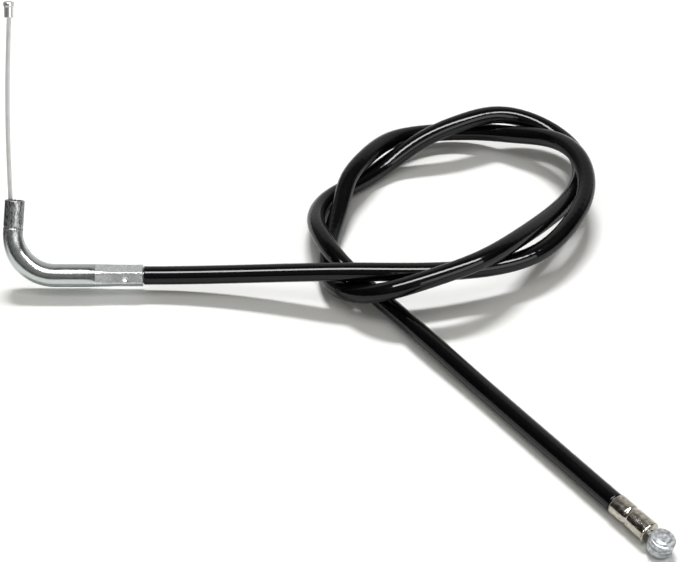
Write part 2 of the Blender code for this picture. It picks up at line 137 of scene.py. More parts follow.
def skinned(name, rings, closed, straight=None):
    """A mesh object of quads between neighbouring rings. A closed run joins its last ring to its first, as a
    tube with a wall does. An open run gets a middle point and a fan of triangles at each end."""
    count, sides = rings.shape[:2]
    row = np.arange(count if closed else count - 1)[:, None]
    here = np.arange(sides)[None]
    beside = (here + 1) % sides
    ahead = (row + 1) % count
    quads = np.stack([row * sides + here, row * sides + beside,
                      ahead * sides + beside, ahead * sides + here], axis=-1)
    points = rings.reshape(-1, 3)
    faces = quads.reshape(-1, 4).tolist()
    if not closed:
        first, last = len(points), len(points) + 1
        end = (count - 1) * sides
        around = np.arange(sides)
        beside = (around + 1) % sides
        faces += np.stack([np.full(sides, first), beside, around], axis=1).tolist()
        faces += np.stack([np.full(sides, last), end + around, end + beside], axis=1).tolist()
        points = np.vstack([points, rings[0].mean(axis=0), rings[-1].mean(axis=0)])
    mesh = bpy.data.meshes.new(name)
    mesh.from_pydata(points.tolist(), [], faces)
    mesh.shade_smooth()
    if straight is not None:
        layer = mesh.attributes.new("straight", "FLOAT_VECTOR", "POINT")
        full = np.zeros((len(points), 3), np.float32)
        full[:straight.size // 3] = straight.reshape(-1, 3)
        layer.data.foreach_set("vector", full.ravel())
    piece = bpy.data.objects.new(name, mesh)
    bpy.context.scene.collection.objects.link(piece)
    return piece


def straightened(arc, angle, radius):
    """Where each ring point would be if the line were pulled straight:
    (arc, radius cos angle, radius sin angle)."""
    shape = np.broadcast_shapes(arc[:, None].shape, np.shape(angle), np.shape(radius))
    return np.stack([np.broadcast_to(arc[:, None], shape), np.broadcast_to(radius * np.cos(angle), shape),
                     np.broadcast_to(radius * np.sin(angle), shape)], axis=-1)


def new_finish(name):
    """An empty material, its node tree and its shader."""
    material = bpy.data.materials.new(name)
    material.use_nodes = True
    return material, material.node_tree, material.node_tree.nodes["Principled BSDF"]


def node(tree, kind, sockets=(), **settings):
    """A node with its settings, and each named socket set to a value or joined to another node's output."""
    made = tree.nodes.new(kind)
    for name, value in settings.items():
        setattr(made, name, value)
    for name, value in dict(sockets).items():
        if isinstance(value, bpy.types.NodeSocket):
            tree.links.new(value, made.inputs[name])
        else:
            made.inputs[name].default_value = value
    return made


def noise(tree, where, scale, detail=3.0, stretch=(1.0, 1.0, 1.0), roughness=0.5):
    """Noise of about 1 / scale metres, read at the place stretched along its axes."""
    placed = node(tree, "ShaderNodeMapping", {"Vector": where, "Scale": stretch})
    return node(tree, "ShaderNodeTexNoise", {
        "Vector": placed.outputs[0], "Scale": scale, "Detail": detail, "Roughness": roughness}).outputs["Fac"]


def between(tree, factor, low, high, start=0.0, stop=1.0):
    """A number that runs from low to high as the factor runs from start to stop."""
    return node(tree, "ShaderNodeMapRange", {
        "Value": factor, "From Min": start, "From Max": stop, "To Min": low, "To Max": high}).outputs[0]


def mixed(tree, factor, first, second):
    """A colour that runs from the first to the second with the factor. Each is three numbers or an output."""
    first, second = (end if isinstance(end, bpy.types.NodeSocket) else (*end, 1.0) for end in (first, second))
    return node(tree, "ShaderNodeMix", {"Factor": factor, 6: first, 7: second}, data_type="RGBA").outputs[2]


def added(tree, first, second):
    """The sum of two numbers."""
    return node(tree, "ShaderNodeMath", {0: first, 1: second}, operation="ADD").outputs[0]


def times(tree, first, second):
    """The product of two numbers."""
    return node(tree, "ShaderNodeMath", {0: first, 1: second}, operation="MULTIPLY").outputs[0]


def bumped(tree, height, strength, distance, onto=None):
    """A normal tipped by the height's slope, on top of another bump if one is given."""
    sockets = {"Height": height, "Strength": strength, "Distance": distance}
    if onto is not None:
        sockets["Normal"] = onto
    return node(tree, "ShaderNodeBump", sockets).outputs[0]


def along_cable(tree):
    """The surface's place on the straightened cable, in metres."""
    return node(tree, "ShaderNodeAttribute", attribute_name="straight").outputs["Vector"]


def black_jacket():
    """Glossy black: almost even in colour, with long faint draw lines and soft dull patches."""
    material, tree, shader = new_finish("black jacket plastic")
    place = along_cable(tree)
    patches = noise(tree, place, 160.0)
    lines = noise(tree, place, 1400.0, stretch=(0.03, 1.0, 1.0))
    black = mixed(tree, patches, (0.0014, 0.0014, 0.0015), (0.0030, 0.0029, 0.0030))
    tree.links.new(black, shader.inputs["Base Color"])
    dull = added(tree, between(tree, patches, -0.03, 0.03, 0.3, 0.7),
                 between(tree, lines, 0.09, 0.13, 0.3, 0.7))
    tree.links.new(dull, shader.inputs["Roughness"])
    tree.links.new(bumped(tree, lines, 0.10, 0.00003), shader.inputs["Normal"])
    shader.inputs["IOR"].default_value = 1.44
    return material


jacket_line = eased_line(ROUTE, LEG_DIRECTION, LEVER_DIRECTION, LINE_STEP)
straight_count = int((LAST_STRAIGHT - FIT) / LINE_STEP)
straight_part = np.linspace(LINE_STEP, LAST_STRAIGHT - FIT, straight_count)[:, None] * LEVER_DIRECTION
jacket_line = even_line(np.vstack([jacket_line, ROUTE[-1] + straight_part]), LINE_STEP)
jacket_arc, jacket_side, jacket_raised = line_frame(jacket_line)
around_jacket = np.linspace(0.0, 2 * math.pi, JACKET_SIDES, endpoint=False)[None]
turn_phase = 2 * math.pi * jacket_arc[:, None] / WINDING_PITCH - around_jacket
jacket_radius = JACKET_DIAMETER / 2 - JACKET_RIPPLE * (1 - np.cos(turn_phase))
jacket_outside = rings_on(jacket_line, jacket_side, jacket_raised, around_jacket, jacket_radius)
inside_steps = np.unique(np.append(np.arange(0, len(jacket_line), 6), len(jacket_line) - 1))[::-1]
jacket_bore = np.full((1, 1), JACKET_BORE / 2)
jacket_inside = rings_on(jacket_line[inside_steps], jacket_side[inside_steps], jacket_raised[inside_steps],
                         around_jacket, jacket_bore)
jacket_straight = np.vstack([straightened(jacket_arc, around_jacket, jacket_radius),
                             straightened(jacket_arc[inside_steps], around_jacket, jacket_bore)])
jacket = skinned("jacket", np.vstack([jacket_outside, jacket_inside]), True, jacket_straight)
jacket.data.materials.append(black_jacket())
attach(jacket, "casing")
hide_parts("casing_jacket")


# Winding and liner: flat steel strip wound close over a thin plastic sleeve that the wire runs in. They lie
# hidden in the jacket and reach on into the elbow and the ferrule.
WINDING_DIAMETER = 0.0035
WINDING_BORE = 0.0028
LINER_DIAMETER = 0.0022
LINER_BORE = 0.0018
CASING_IN_ELBOW = 0.0120
CASING_IN_FERRULE = 0.0101
WINDING_GROOVE = 0.00003


def walled(name, line, sides, outside, bore, inside_every):
    """A tube with a wall: the outside's rings one way and the bore's fewer rings back, joined at both ends."""
    arc, side, raised = line_frame(line)
    angle = np.linspace(0.0, 2 * math.pi, sides, endpoint=False)[None]
    back = np.unique(np.append(np.arange(0, len(line), inside_every), len(line) - 1))[::-1]
    radius = np.broadcast_to(outside(arc[:, None], angle), (len(line), sides))
    bore = np.full((1, 1), bore)
    rings = np.vstack([rings_on(line, side, raised, angle, radius),
                       rings_on(line[back], side[back], raised[back], angle, bore)])
    return skinned(name, rings, True, np.vstack([straightened(arc, angle, radius),
                                                 straightened(arc[back], angle, bore)]))


def strip_wound(arc, angle):
    """Radius of the wound strip: round, with a shallow groove along a helix of the winding's pitch."""
    groove = (0.5 + 0.5 * np.cos(2 * math.pi * arc / WINDING_PITCH - angle)) ** 3
    return WINDING_DIAMETER / 2 - WINDING_GROOVE * groove


def drawn_steel(name, colour, dull, grease=0.55, groove=0.0, shade_end=0.0, metallic=1.0):
    """Drawn steel wire: grey metal with fine lines along it and patches where grease darkens it. Where a
    groove's radius and a shade_end radius are given, the grooves between the wires get painted shade: near
    black at the groove's radius, fading out by the shade_end radius."""
    material, tree, shader = new_finish(name)
    place = along_cable(tree)
    lines = noise(tree, place, 9000.0, stretch=(0.05, 1.0, 1.0))
    patches = noise(tree, place, 500.0)
    darker = tuple(grease * part for part in colour)
    tone = mixed(tree, between(tree, patches, 0.0, 1.0, 0.35, 0.65), darker, colour)
    # Painted shade: the grooves between the wires are coloured near black where the rope's radius is small.
    if shade_end:
        flat = node(tree, "ShaderNodeVectorMath", {0: place, 1: (0.0, 1.0, 1.0)},
                    operation="MULTIPLY").outputs[0]
        radius = node(tree, "ShaderNodeVectorMath", {0: flat}, operation="LENGTH").outputs["Value"]
        tone = mixed(tree, between(tree, radius, 0.0, 1.0, groove, shade_end), (0.02, 0.02, 0.02), tone)
    tree.links.new(tone, shader.inputs["Base Color"])
    tree.links.new(between(tree, lines, dull - 0.08, dull + 0.10, 0.3, 0.7), shader.inputs["Roughness"])
    tree.links.new(bumped(tree, lines, 0.25, 0.00002), shader.inputs["Normal"])
    shader.inputs["Metallic"].default_value = metallic
    return material


def liner_plastic():
    """Natural plastic, slightly milky, with soft cloudy patches."""
    material, tree, shader = new_finish("liner plastic")
    clouds = noise(tree, along_cable(tree), 900.0)
    tree.links.new(mixed(tree, clouds, (0.72, 0.72, 0.66), (0.84, 0.84, 0.80)), shader.inputs["Base Color"])
    tree.links.new(between(tree, clouds, 0.32, 0.45, 0.3, 0.7), shader.inputs["Roughness"])
    return material


ferrule_start = ROUTE[-1] + LEVER_DIRECTION * LAST_STRAIGHT
inner_line = even_line(np.vstack([
    jacket_line[0] - LEG_DIRECTION * (FIT + CASING_IN_ELBOW), jacket_line,
    ferrule_start + LEVER_DIRECTION * CASING_IN_FERRULE,
]), 0.0005)
winding = walled("winding", inner_line, 18, strip_wound, WINDING_BORE / 2, 4)
winding.data.materials.append(drawn_steel("winding steel", (0.42, 0.42, 0.41), 0.38))
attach(winding, "casing")
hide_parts("casing_winding")

liner = walled("liner", inner_line[::2], 16, lambda arc, angle: LINER_DIAMETER / 2 + 0 * arc, LINER_BORE / 2, 1)
liner.data.materials.append(liner_plastic())
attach(liner, "casing")
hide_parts("casing_liner")


# Elbow: a zinc-plated steel tube, bent up and away near its end. Its casing end is pressed to a hexagon round
# the winding, with the press's dimple in one facet, and its other end is turned down for the carburettor cap.
ELBOW_DIAMETER = 0.0062
ELBOW_BORE = 0.0041
ELBOW_LEG = 0.0355
ELBOW_UPRIGHT = 0.0202
ELBOW_BEND = 0.0110
MOUTH_LEAN = math.radians(4.7)
MOUTH_TILT = math.radians(57.0)
MOUTH_DIRECTION = np.array([math.sin(MOUTH_LEAN), math.cos(MOUTH_LEAN) * math.cos(MOUTH_TILT),
                            math.cos(MOUTH_LEAN) * math.sin(MOUTH_TILT)])
CRIMP_FLATS = 0.0053
CRIMP_CORNERS = 0.00603
CRIMP_START = 0.00580
CRIMP_TURN = math.radians(5.0)
CRIMP_LENGTH = 0.0082
CRIMP_TAPER = 0.0045
SPIGOT_DIAMETER = 0.00526
SPIGOT_LENGTH = 0.0072
SPIGOT_GROOVE_DEPTH = 0.00012
DIMPLE_FROM_END = 0.00455
DIMPLE_BELOW_MIDDLE = 0.00045
DIMPLE_RADIUS = 0.00080
DIMPLE_DEPTH = 0.00040
ELBOW_RIM = 0.00012
RIM_STEPS = 0.00015
ELBOW_SIDES = 144
SPIGOT_RIDGE = 0.00006
SCALE_PAST_SPIGOT = 0.0065
FACET = math.radians(60.0)

corner = ROUTE[0] - LEG_DIRECTION * (FIT + ELBOW_LEG)
bend_turn = math.acos(float(-LEG_DIRECTION @ MOUTH_DIRECTION))
bend_tangent = ELBOW_BEND * math.tan(bend_turn / 2)
bend_inward = MOUTH_DIRECTION - (MOUTH_DIRECTION @ LEG_DIRECTION) * LEG_DIRECTION
bend_inward /= np.linalg.norm(bend_inward)
bend_centre = corner + LEG_DIRECTION * bend_tangent + bend_inward * ELBOW_BEND
bend_start = ELBOW_LEG - bend_tangent
bend_end = bend_start + ELBOW_BEND * bend_turn
elbow_length = bend_end + ELBOW_UPRIGHT - bend_tangent
spigot_start = elbow_length - SPIGOT_LENGTH
crimp_stop = CRIMP_LENGTH + CRIMP_TAPER


def elbow_line(distance):
    """Centre, direction and outward side at each distance from the casing end, along a straight, an arc and
    a straight: on the arc, centre = middle + bend radius (-inward cos turn - leg sin turn)."""
    turn = np.clip((distance - bend_start) / ELBOW_BEND, 0.0, bend_turn)[:, None]
    outward = -bend_inward * np.cos(turn) - LEG_DIRECTION * np.sin(turn)
    direction = -LEG_DIRECTION * np.cos(turn) + bend_inward * np.sin(turn)
    before = np.minimum(distance - bend_start, 0.0)[:, None]
    past = np.maximum(distance - bend_end, 0.0)[:, None]
    centre = bend_centre + outward * ELBOW_BEND + direction * (before + past)
    return centre, direction, outward


def eased(value, start, stop):
    """0 before start and 1 after stop, with a smooth S between."""
    share = np.clip((value - start) / (stop - start), 0.0, 1.0)
    return share * share * (3 - 2 * share)


def elbow_radius(distance, angle):
    """The elbow's outside. In the crimp it is the softer minimum of a hexagon, apothem / cos(angle from the
    facet's middle), and a round of the corners' size. The hexagon widens through the taper and ends there in a
    small step. The bend's second half narrows to the spigot, and dips and rims are added on."""
    turned_angle = angle + CRIMP_TURN
    from_flat = turned_angle % FACET - FACET / 2
    widened = np.clip((distance - CRIMP_LENGTH) / CRIMP_TAPER, 0.0, 1.0)
    apothem = CRIMP_FLATS / 2 + (CRIMP_START - CRIMP_FLATS) / 2 * widened
    rounder = eased(distance, CRIMP_LENGTH - 0.001, CRIMP_LENGTH + 0.0015)
    corners = CRIMP_CORNERS / 2 + (ELBOW_DIAMETER - CRIMP_CORNERS) / 2 * rounder
    sharpness = 80.0
    radius = ((apothem / np.cos(from_flat)) ** -sharpness + corners ** -sharpness) ** (-1 / sharpness)
    radius = np.where(widened >= 1.0, ELBOW_DIAMETER / 2, radius)
    narrower = eased(distance, (bend_start + bend_end) / 2, bend_end)
    radius = radius - (ELBOW_DIAMETER - SPIGOT_DIAMETER) / 2 * narrower
    along = distance - DIMPLE_FROM_END
    from_middle = np.clip(turned_angle - FACET / 2, -1.0, 1.0)
    across = CRIMP_FLATS / 2 * np.tan(from_middle) + DIMPLE_BELOW_MIDDLE
    from_dimple = np.sqrt(along ** 2 + across ** 2)
    radius = radius - DIMPLE_DEPTH * (1 - np.clip(from_dimple / DIMPLE_RADIUS, 0.0, 1.0) ** 2) ** 2
    groove = distance - spigot_start
    radius = radius - SPIGOT_GROOVE_DEPTH * np.exp(-(groove / 0.00022) ** 4)
    radius = radius + SPIGOT_RIDGE * np.exp(-((groove + 0.00045) / 0.00016) ** 2)
    ends = np.minimum(distance, elbow_length - distance)
    return radius - ELBOW_RIM * (1 - np.clip(ends / ELBOW_RIM, 0.0, 1.0)) ** 2


def zinc_plate():
    """Bright zinc on steel. The tube is smooth, the crimp satin and speckled from the press, and the spigot
    darker and scaly. The place along the tube tells them apart."""
    material, tree, shader = new_finish("zinc plate")
    place = along_cable(tree)
    distance = node(tree, "ShaderNodeSeparateXYZ", {"Vector": place}).outputs[0]
    clouds = noise(tree, place, 700.0)
    grain = noise(tree, place, 1900.0, 3.0)
    scale = noise(tree, place, 2600.0, 5.0, roughness=0.65)
    spigot = between(tree, distance, 0.0, 1.0, spigot_start - SCALE_PAST_SPIGOT, spigot_start)
    pressed = between(tree, distance, 1.0, 0.0, crimp_stop - 0.0002, crimp_stop)
    streaks = noise(tree, place, 2600.0, 4.0, stretch=(0.4, 1.0, 1.0), roughness=0.6)
    plain = mixed(tree, clouds, (0.66, 0.69, 0.68), (0.75, 0.78, 0.77))
    scaly = mixed(tree, between(tree, streaks, 0.0, 1.0, 0.38, 0.62), (0.10, 0.10, 0.10), (0.56, 0.57, 0.57))
    specks = mixed(tree, between(tree, grain, 0.0, 1.0, 0.42, 0.60), (0.74, 0.77, 0.76), (0.93, 0.95, 0.94))
    colour = mixed(tree, spigot, mixed(tree, pressed, plain, specks), scaly)
    tree.links.new(colour, shader.inputs["Base Color"])
    base = between(tree, clouds, 0.17, 0.23, 0.3, 0.7)
    dull = added(tree, base, times(tree, added(tree, pressed, spigot), 0.16))
    tree.links.new(dull, shader.inputs["Roughness"])
    fine = bumped(tree, times(tree, grain, pressed), 0.8, 0.00004)
    flakes = bumped(tree, times(tree, scale, spigot), 0.9, 0.00006, fine)
    tree.links.new(flakes, shader.inputs["Normal"])
    shader.inputs["Metallic"].default_value = 1.0
    return material


elbow_steps = np.unique(np.round(np.concatenate([
    np.linspace(0.0, RIM_STEPS, 5),
    np.linspace(RIM_STEPS, crimp_stop, 110),
    [crimp_stop - 0.00003],
    np.linspace(crimp_stop, bend_start, 8),
    np.linspace(bend_start, bend_end, 48),
    np.linspace(bend_end, spigot_start - 0.001, 6),
    np.linspace(spigot_start - 0.001, spigot_start + 0.0006, 24),
    np.linspace(spigot_start + 0.0006, elbow_length - RIM_STEPS, 12),
    np.linspace(elbow_length - RIM_STEPS, elbow_length, 5),
]), 7))
elbow_angle = np.linspace(0.0, 2 * math.pi, ELBOW_SIDES, endpoint=False)[None]
elbow_side = np.cross(LEG_DIRECTION, bend_inward)
elbow_roll = math.atan2(elbow_side[2], -bend_inward[2])


def elbow_rings(distance, radius):
    """Rings round the elbow's line. In the leg, 90 degrees faces up and 0 degrees faces the camera's side."""
    centre, direction, outward = elbow_line(distance)
    raised = outward * math.cos(elbow_roll) + elbow_side * math.sin(elbow_roll)
    return rings_on(centre, np.cross(raised, direction), raised, elbow_angle, radius)


elbow_back = elbow_steps[::-1][::3]
elbow_back = np.unique(np.append(elbow_back, [elbow_steps[0], elbow_steps[-1]]))[::-1]
elbow_outside = elbow_radius(elbow_steps[:, None], elbow_angle)
bore_radius = np.full((1, 1), ELBOW_BORE / 2)
elbow_straight = np.vstack([straightened(elbow_steps, elbow_angle, elbow_outside),
                            straightened(elbow_back, elbow_angle, bore_radius)])
elbow_skin = np.vstack([elbow_rings(elbow_steps, elbow_outside), elbow_rings(elbow_back, bore_radius)])
elbow = skinned("elbow", elbow_skin, True, elbow_straight)
elbow.data.materials.append(zinc_plate())
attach(elbow, "casing")
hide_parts("elbow_tube")


# Wire: one galvanised stranded rope, laid from twelve outer wires, in the three stretches that move apart.
# It bears on the outer side of the elbow's bend, stands up out of the mouth, and leaves by the ferrule.
WIRE_DIAMETER = 0.0012
STRANDS = 12
STRAND_LAY = 0.0105
# Radii on the rope between which its grooves are painted near black: painted shade between the wires.
ROPE_FULL_SHADE_RADIUS = 0.00047
ROPE_SHADE_END_RADIUS = 0.00056
EXPOSED_WIRE = 0.0483
NIPPLE_GRIP = 0.0030
WIRE_BOW = 0.00060
WIRE_LEAN = math.radians(1.25)
WIRE_TILT = math.radians(60.5)
WIRE_DIRECTION = np.array([math.sin(WIRE_LEAN), math.cos(WIRE_LEAN) * math.cos(WIRE_TILT),
                           math.cos(WIRE_LEAN) * math.sin(WIRE_TILT)])
LEVER_WIRE_IN_CASING = 0.0520
FERRULE_LENGTH = 0.0119

# The rope's grooves get painted shade between the two radii given here.
rope_steel = drawn_steel("rope steel", (0.97, 0.98, 0.98), 0.36, grease=0.92, groove=ROPE_FULL_SHADE_RADIUS,
                         shade_end=ROPE_SHADE_END_RADIUS, metallic=0.35)


def rope(name, line, per_strand, up=(0.0, 0.0, 1.0)):
    """A laid wire rope: the outer wires' circles, side by side round the rope and turned once in each lay.

    Across one wire the radius is r cos a + sqrt(w squared - (r sin a) squared), with a the angle from the
    wire's middle, w its radius and r the radius that its centre lies on."""
    arc, side, raised = line_frame(line, up)
    wire = WIRE_DIAMETER / 10
    pitch_circle = WIRE_DIAMETER / 2 - wire
    across = (np.arange(per_strand) + 0.5) / per_strand * 2 - 1
    inside = np.tile(across * math.pi / STRANDS, STRANDS)
    round_rope = np.repeat(np.arange(STRANDS), per_strand) * 2 * math.pi / STRANDS + inside
    past_centre = np.sqrt(np.maximum(wire ** 2 - (pitch_circle * np.sin(inside)) ** 2, 0.0))
    lobe = pitch_circle * np.cos(inside) + past_centre
    angle = round_rope[None] + 2 * math.pi * arc[:, None] / STRAND_LAY
    radius = np.broadcast_to(lobe[None], angle.shape)
    piece = skinned(name, rings_on(line, side, raised, angle, radius), False,
                    straightened(arc, round_rope[None], radius))
    piece.data.materials.append(rope_steel)
    return piece


wire_offset = ELBOW_BORE / 2 - WIRE_DIAMETER / 2 - FIT
mouth_centre, _, mouth_outward = elbow_line(np.array([elbow_length]))
mouth_origin = mouth_centre[0] + mouth_outward[0] * wire_offset
way_back = np.linspace(elbow_length - FIT / 2, bend_start, 60)
way_centre, _, way_outward = elbow_line(way_back)
elbow_wire = way_centre + way_outward * wire_offset * eased(way_back, bend_start, bend_end)[:, None]
ferrule_end = ferrule_start + LEVER_DIRECTION * FERRULE_LENGTH
inner_end = ferrule_end - LEVER_DIRECTION * (LEVER_WIRE_IN_CASING + FIT)
before_end = (inner_line - inner_end) @ LEVER_DIRECTION < -WIRE_DIAMETER
hidden_line = even_line(np.vstack([elbow_wire, inner_line[before_end], inner_end]), 0.0009)
wire_in_casing = rope("wire_in_casing", hidden_line, 3, up=(0.12, 0.25, 0.96))
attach(wire_in_casing, "casing")
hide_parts("inner_wire_in_casing")

climb = np.linspace(FIT / 2, EXPOSED_WIRE + NIPPLE_GRIP - FIT, 150)
bow = WIRE_BOW * np.sin(math.pi * np.clip(climb / EXPOSED_WIRE, 0.0, 1.0))
carb_line = mouth_origin + climb[:, None] * WIRE_DIRECTION - bow[:, None] * np.array([1.0, 0.0, 0.0])
carb_wire = rope("carb_end_wire", carb_line, 8, up=(0.0, -1.0, 0.0))
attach(carb_wire, "casing")
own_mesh(carb_wire)
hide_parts("inner_wire_carb_end")

BARREL_FROM_FERRULE = 0.0006
BARREL_DIAMETER = 0.0063
lever_wire_end = BARREL_FROM_FERRULE + BARREL_DIAMETER / 2 + NIPPLE_GRIP / 2 - FIT
lever_climb = np.linspace(-LEVER_WIRE_IN_CASING, lever_wire_end, 150)
lever_wire = rope("lever_end_wire", ferrule_end + lever_climb[:, None] * LEVER_DIRECTION, 8)
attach(lever_wire, "lever_end")
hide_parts("inner_wire_lever_end")


# Carburettor nipple: a small bright zinc slug cast on the wire's end, with a flat shoulder towards the elbow
# and a low domed head that catches in the throttle slide's slot.
CARB_NIPPLE_LENGTH = 0.0043
CARB_NIPPLE_DIAMETER = 0.0024
CARB_NIPPLE_HEAD = 0.0029
CARB_NIPPLE_HEAD_LENGTH = 0.0015
CARB_NIPPLE_DOME = 0.0005
CARB_NIPPLE_EDGE = 0.0001


def turned(name, radius, height, centre, axis, sides, closed):
    """A profile of radii and heights carried round an axis:
    centre + height axis + radius (side cos angle + raised sin angle)."""
    axis = np.asarray(axis) / np.linalg.norm(axis)
    side = np.cross((0.0, 1.0, 0.0), axis)
    side /= np.linalg.norm(side)
    line = centre + height[:, None] * axis
    angle = np.linspace(0.0, 2 * math.pi, sides, endpoint=False)[None]
    raised = np.broadcast_to(np.cross(axis, side), line.shape)
    radius = np.reshape(radius, (len(height), -1))
    rings = rings_on(line, np.broadcast_to(side, line.shape), raised, angle, radius)
    return skinned(name, rings, closed, straightened(height, angle, radius))


def turned_metal(name, low, high, smooth, dull, grain_strength, turning=0.0, metallic=1.0):
    """A plated or cast metal: cloudy colour, roughness that follows the clouds, fine grain, turning lines."""
    material, tree, shader = new_finish(name)
    place = along_cable(tree)
    clouds = noise(tree, place, 1100.0, 4.0)
    grain = noise(tree, place, 5500.0, 5.0, roughness=0.6)
    colour = mixed(tree, between(tree, clouds, 0.0, 1.0, 0.3, 0.7), low, high)
    tree.links.new(colour, shader.inputs["Base Color"])
    tree.links.new(between(tree, clouds, smooth, dull, 0.3, 0.7), shader.inputs["Roughness"])
    normal = bumped(tree, grain, grain_strength, 0.00004)
    if turning:
        lines = noise(tree, place, 14000.0, 2.0, stretch=(1.0, 0.02, 0.02))
        normal = bumped(tree, lines, turning, 0.00002, normal)
    tree.links.new(normal, shader.inputs["Normal"])
    shader.inputs["Metallic"].default_value = metallic
    return material


nipple_base = EXPOSED_WIRE
nipple_top = EXPOSED_WIRE + CARB_NIPPLE_LENGTH
head_start = nipple_top - CARB_NIPPLE_HEAD_LENGTH
body_height = np.linspace(nipple_base, nipple_top - CARB_NIPPLE_DOME, 30)
body_radius = CARB_NIPPLE_DIAMETER / 2 + (CARB_NIPPLE_HEAD - CARB_NIPPLE_DIAMETER) / 2 * eased(
    body_height, head_start, head_start + CARB_NIPPLE_DOME / 2)
near_base = 1 - np.clip((body_height - nipple_base) / CARB_NIPPLE_EDGE, 0.0, 1.0)
body_radius = body_radius - CARB_NIPPLE_EDGE * near_base ** 2
dome_share = np.linspace(0.0, 1.0, 14)[1:-1]
dome_height = nipple_top - CARB_NIPPLE_DOME * (1 - np.sin(dome_share * math.pi / 2))
dome_radius = CARB_NIPPLE_HEAD / 2 * np.cos(dome_share * math.pi / 2)
shoulder = np.linspace(WIRE_DIAMETER / 2 * 0.6, CARB_NIPPLE_DIAMETER / 2 - CARB_NIPPLE_EDGE, 5)[:-1]
nipple_radius = np.concatenate([shoulder, body_radius, dome_radius])
nipple_height = np.concatenate([np.full(len(shoulder), nipple_base), body_height, dome_height])
carb_nipple = turned("carb_nipple_cast", nipple_radius, nipple_height, mouth_origin, WIRE_DIRECTION, 56, False)
carb_nipple.data.materials.append(
    turned_metal("bright zinc", (0.86, 0.87, 0.87), (0.95, 0.96, 0.96), 0.14, 0.22, 0.12, metallic=0.75))
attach(carb_nipple, "carb_end")
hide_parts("carb_nipple")


# Ferrule: a turned and nickel-plated steel cap pushed over the casing's lever end, held by one rolled groove.
# Its rims are rounded, and its end wall has a hole for the wire.
FERRULE_DIAMETER = 0.0055
FERRULE_BORE = 0.0041
FERRULE_EDGE = 0.00035
FERRULE_END_WALL = 0.0015
FERRULE_HOLE = 0.0018
FERRULE_LIP = 0.0002
GROOVE_FROM_JACKET = 0.0053
GROOVE_WIDTH = 0.0013
GROOVE_DEPTH = 0.00022

edge_turn = np.linspace(0.0, math.pi / 2, 7)
skirt_height = np.linspace(FERRULE_EDGE, FERRULE_LENGTH - FERRULE_EDGE, 90)
from_groove = (skirt_height - GROOVE_FROM_JACKET) / (GROOVE_WIDTH * 0.42)
skirt_radius = FERRULE_DIAMETER / 2 - GROOVE_DEPTH * np.exp(-from_groove ** 4)
hole_lip = np.linspace(0.0, math.pi / 2, 5)[::-1]
ferrule_radius = np.concatenate([
    FERRULE_DIAMETER / 2 - FERRULE_EDGE * (1 - np.sin(edge_turn)),
    skirt_radius,
    FERRULE_DIAMETER / 2 - FERRULE_EDGE * (1 - np.cos(edge_turn)),
    FERRULE_HOLE / 2 + FERRULE_LIP * (1 - np.cos(hole_lip)),
    [FERRULE_HOLE / 2, FERRULE_BORE / 2, FERRULE_BORE / 2],
])
ferrule_height = np.concatenate([
    FERRULE_EDGE * (1 - np.cos(edge_turn)),
    skirt_height,
    FERRULE_LENGTH - FERRULE_EDGE * (1 - np.sin(edge_turn)),
    FERRULE_LENGTH - FERRULE_LIP * (1 - np.sin(hole_lip)),
    [FERRULE_LENGTH - FERRULE_END_WALL, FERRULE_LENGTH - FERRULE_END_WALL, 0.0],
])
ferrule = turned("ferrule", ferrule_radius, ferrule_height, ferrule_start, LEVER_DIRECTION, 72, True)
ferrule.data.materials.append(
    turned_metal("nickel plate", (0.42, 0.36, 0.28), (0.84, 0.80, 0.72), 0.12, 0.24, 0.14, 0.10))
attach(ferrule, "casing")
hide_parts("end_ferrule")


# Barrel nipple: zinc die-cast across the wire's end, with a low round step where the sprue was broken off and
# the parting line of its die round the middle. The throttle lever's cross hole holds it.
BARREL_LENGTH = 0.0042
BARREL_STEP_DIAMETER = 0.0035
BARREL_STEP_HEIGHT = 0.0003
BARREL_EDGE = 0.00042
PARTING_DEPTH = 0.00016
BARREL_AXIS = np.array([0.184, -0.057, 0.981])

barrel_centre = ferrule_end + LEVER_DIRECTION * (BARREL_FROM_FERRULE + BARREL_DIAMETER / 2)
half = BARREL_LENGTH / 2
face = half - BARREL_STEP_HEIGHT
barrel_side = np.linspace(-half + BARREL_EDGE, face - BARREL_EDGE, 40)
parting = -PARTING_DEPTH * np.exp(-((barrel_side - 0.0001) / 0.00018) ** 2)
step_radius = BARREL_STEP_DIAMETER / 2
barrel_radius = np.concatenate([
    np.linspace(0.0004, BARREL_DIAMETER / 2 - BARREL_EDGE, 8)[:-1],
    BARREL_DIAMETER / 2 - BARREL_EDGE * (1 - np.sin(edge_turn)),
    BARREL_DIAMETER / 2 + parting,
    BARREL_DIAMETER / 2 - BARREL_EDGE * (1 - np.cos(edge_turn)),
    np.linspace(BARREL_DIAMETER / 2 - BARREL_EDGE, step_radius + 0.0001, 5)[1:],
    step_radius + 0.00006 * np.cos(np.linspace(0.3, math.pi / 2, 5)),
    np.linspace(step_radius, 0.0003, 7)[1:],
])
barrel_height = np.concatenate([
    np.full(7, -half),
    -half + BARREL_EDGE * (1 - np.cos(edge_turn)),
    barrel_side,
    face - BARREL_EDGE * (1 - np.sin(edge_turn)),
    np.full(4, face),
    face + (half - face) * np.linspace(0.15, 1.0, 5),
    np.full(6, half),
])
barrel = turned("barrel_nipple_cast", barrel_radius, barrel_height, barrel_centre, BARREL_AXIS, 96, False)
barrel.data.materials.append(
    turned_metal("cast zinc", (0.34, 0.36, 0.38), (0.84, 0.86, 0.88), 0.30, 0.48, 1.0))
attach(barrel, "lever_end")
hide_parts("barrel_nipple")
